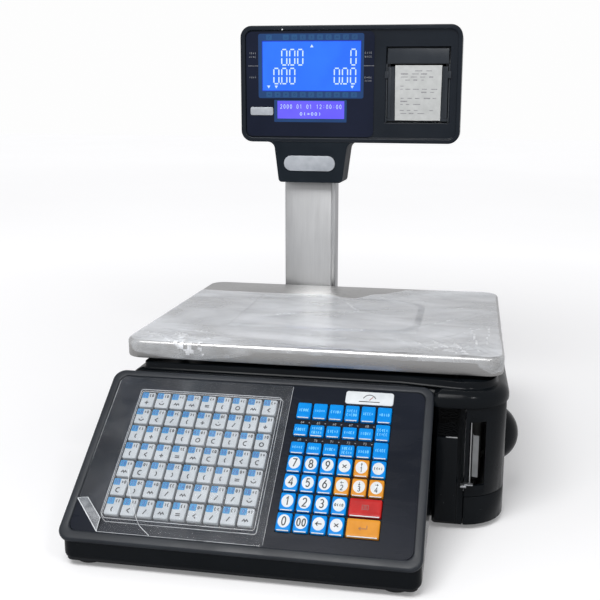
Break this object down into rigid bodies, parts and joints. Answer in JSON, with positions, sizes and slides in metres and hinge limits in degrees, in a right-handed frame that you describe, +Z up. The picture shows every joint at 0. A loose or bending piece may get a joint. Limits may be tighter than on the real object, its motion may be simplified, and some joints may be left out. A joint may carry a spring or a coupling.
{
  "type": "label printing scale",
  "caption": "Counter scale with a platter, a sloping keypad deck, a side label printer behind a hinged door and a display head with a receipt printer on a pole.",
  "frame": {"origin": "centre of the footprint of the whole scale, on the counter", "axes": "+Z up, +X to the operator's right, +Y from the keypad towards the pole"},
  "size_m": [0.3886, 0.4986, 0.4818],
  "materials": {
    "gloss_black": "glossy moulded plastic",
    "satin_black": "fine textured plastic",
    "deck_rim": "dark grey satin moulding",
    "navy_gloss": "glossy dark blue overlay",
    "clear_plastic": "clear thin plastic",
    "stainless": "brushed",
    "aluminium": "satin anodised",
    "zinc_steel": "plated",
    "board_green": "solder mask",
    "lcd_blue": "backlit display",
    "lcd_violet": "backlit display",
    "plate_silver": "satin silver label plates",
    "paper_white": "thermal paper",
    "rubber_black": "soft rubber",
    "switch_red": "glossy",
    "key_grey": "satin key caps",
    "key_blue": "satin key caps",
    "key_red": "satin key cap",
    "key_orange": "satin key cap"
  },
  "bodies": {
    "base": {"base_tray": "satin_black", "body_housing": "gloss_black", "corner_panel": "gloss_black", "body_screws": "zinc_steel", "keypad_housing": "gloss_black", "keypad_bezel": "deck_rim", "key_plate": "navy_gloss", "key_cover": "clear_plastic", "keypad_board": "board_green", "load_cell": "aluminium", "load_cell_blocks": "zinc_steel", "pan_carrier": "zinc_steel", "carrier_pads": "rubber_black", "main_board": "board_green", "power_supply": "zinc_steel", "power_inlet": "satin_black", "io_ports": "zinc_steel", "printer_chassis": "zinc_steel", "label_print_head": "zinc_steel", "peel_bar": "aluminium", "label_strip": "paper_white", "door_hinge_pin": "zinc_steel", "pole_bracket": "zinc_steel", "pole": "aluminium", "neck": "gloss_black", "head_rear": "gloss_black", "head_front": "navy_gloss", "display_window": "navy_gloss", "main_lcd": "lcd_blue", "date_lcd": "lcd_violet", "display_board": "board_green", "blank_plates": "plate_silver", "rear_window": "navy_gloss", "receipt_mechanism": "deck_rim", "receipt_hood": "deck_rim"},
    "foot_front_left": {"foot_front_left": "rubber_black"},
    "foot_front_right": {"foot_front_right": "rubber_black"},
    "foot_rear_left": {"foot_rear_left": "rubber_black"},
    "foot_rear_right": {"foot_rear_right": "rubber_black"},
    "pan": {"pan": "stainless", "pan_film": "clear_plastic"},
    "printer_door": {"printer_door": "gloss_black"},
    "door_knob": {"door_knob": "gloss_black"},
    "label_roll": {"label_roll": "paper_white"},
    "label_platen": {"label_platen": "rubber_black"},
    "power_switch": {"power_switch": "switch_red"},
    "receipt_roll": {"receipt_roll": "paper_white"},
    "receipt_platen": {"receipt_platen": "rubber_black"},
    "receipt_door": {"receipt_door": "deck_rim", "receipt_paper": "paper_white"},
    "plu_keys": {"plu_keys": "key_grey"},
    "function_keys": {"function_keys": "key_blue"},
    "command_keys": {"command_keys": "key_blue"},
    "wide_red_key": {"wide_red_key": "key_red"},
    "wide_orange_key": {"wide_orange_key": "key_orange"},
    "digit_keys_789": {"digit_keys_789": "key_blue"},
    "digit_keys_456": {"digit_keys_456": "key_blue"},
    "digit_keys_123": {"digit_keys_123": "key_blue"},
    "key_zero": {"key_zero": "key_blue"},
    "key_double_zero": {"key_double_zero": "key_blue"}
  },
  "joints": [
    {"name": "foot_front_left_turn", "type": "hinge", "parent": "base", "child": "foot_front_left", "pos_m": [-0.17175, -0.2257, 0.006], "axis": [0, 0, 1], "continuous": true},
    {"name": "foot_front_right_turn", "type": "hinge", "parent": "base", "child": "foot_front_right", "pos_m": [0.09125, -0.2257, 0.006], "axis": [0, 0, 1], "continuous": true},
    {"name": "foot_rear_left_turn", "type": "hinge", "parent": "base", "child": "foot_rear_left", "pos_m": [-0.15675, 0.2143, 0.006], "axis": [0, 0, 1], "continuous": true},
    {"name": "foot_rear_right_turn", "type": "hinge", "parent": "base", "child": "foot_rear_right", "pos_m": [0.14925, 0.2143, 0.006], "axis": [0, 0, 1], "continuous": true},
    {"name": "pan_lift", "type": "slide", "parent": "base", "child": "pan", "axis": [0, 0, 1], "range_m": [0, 0.06]},
    {"name": "printer_door_swing", "type": "hinge", "parent": "base", "child": "printer_door", "pos_m": [0.17765, 0.047, 0.075], "axis": [0, 0, 1], "range_deg": [0, 100]},
    {"name": "door_knob_turn", "type": "hinge", "parent": "printer_door", "child": "door_knob", "pos_m": [0.18065, -0.0417, 0.068], "axis": [1, 0, 0], "range_deg": [0, 90]},
    {"name": "label_roll_spin", "type": "hinge", "parent": "base", "child": "label_roll", "pos_m": [0.12725, -0.0217, 0.06], "axis": [0, 0, 1], "continuous": true},
    {"name": "label_platen_spin", "type": "hinge", "parent": "base", "child": "label_platen", "pos_m": [0.15165, -0.0987, 0.06], "axis": [0, 0, 1], "continuous": true},
    {"name": "power_switch_rock", "type": "hinge", "parent": "base", "child": "power_switch", "pos_m": [-0.10775, 0.2413, 0.034], "axis": [1, 0, 0], "range_deg": [0, 20]},
    {"name": "receipt_door_swing", "type": "hinge", "parent": "base", "child": "receipt_door", "pos_m": [0.07025, 0.1975, 0.3704], "axis": [1, 0, 0], "range_deg": [0, 70]},
    {"name": "receipt_roll_spin", "type": "hinge", "parent": "base", "child": "receipt_roll", "pos_m": [0.07025, 0.2198, 0.397], "axis": [1, 0, 0], "continuous": true},
    {"name": "receipt_platen_spin", "type": "hinge", "parent": "base", "child": "receipt_platen", "pos_m": [0.07025, 0.2028, 0.4376], "axis": [1, 0, 0], "continuous": true},
    {"name": "plu_keys_press", "type": "slide", "parent": "base", "child": "plu_keys", "axis": [0, 0.606, -0.7955], "range_m": [0, 0.002], "stiffness_N_per_m": 18900, "springref_m": -0.001},
    {"name": "function_keys_press", "type": "slide", "parent": "base", "child": "function_keys", "axis": [0, 0.606, -0.7955], "range_m": [0, 0.002], "stiffness_N_per_m": 5400, "springref_m": -0.001},
    {"name": "command_keys_press", "type": "slide", "parent": "base", "child": "command_keys", "axis": [0, 0.606, -0.7955], "range_m": [0, 0.002], "stiffness_N_per_m": 2700, "springref_m": -0.001},
    {"name": "wide_red_key_press", "type": "slide", "parent": "base", "child": "wide_red_key", "axis": [0, 0.606, -0.7955], "range_m": [0, 0.002], "stiffness_N_per_m": 300, "springref_m": -0.001},
    {"name": "wide_orange_key_press", "type": "slide", "parent": "base", "child": "wide_orange_key", "axis": [0, 0.606, -0.7955], "range_m": [0, 0.002], "stiffness_N_per_m": 300, "springref_m": -0.001},
    {"name": "digit_keys_789_press", "type": "slide", "parent": "base", "child": "digit_keys_789", "axis": [0, 0.606, -0.7955], "range_m": [0, 0.002], "stiffness_N_per_m": 900, "springref_m": -0.001},
    {"name": "digit_keys_456_press", "type": "slide", "parent": "base", "child": "digit_keys_456", "axis": [0, 0.606, -0.7955], "range_m": [0, 0.002], "stiffness_N_per_m": 900, "springref_m": -0.001},
    {"name": "digit_keys_123_press", "type": "slide", "parent": "base", "child": "digit_keys_123", "axis": [0, 0.606, -0.7955], "range_m": [0, 0.002], "stiffness_N_per_m": 900, "springref_m": -0.001},
    {"name": "key_zero_press", "type": "slide", "parent": "base", "child": "key_zero", "axis": [0, 0.606, -0.7955], "range_m": [0, 0.002], "stiffness_N_per_m": 300, "springref_m": -0.001},
    {"name": "key_double_zero_press", "type": "slide", "parent": "base", "child": "key_double_zero", "axis": [0, 0.606, -0.7955], "range_m": [0, 0.002], "stiffness_N_per_m": 300, "springref_m": -0.001}
  ],
  "couplings": [
    {"joint": "label_platen_spin", "follows": "label_roll_spin", "ratio": -6.6667},
    {"joint": "receipt_platen_spin", "follows": "receipt_roll_spin", "ratio": -6.3333}
  ]
}
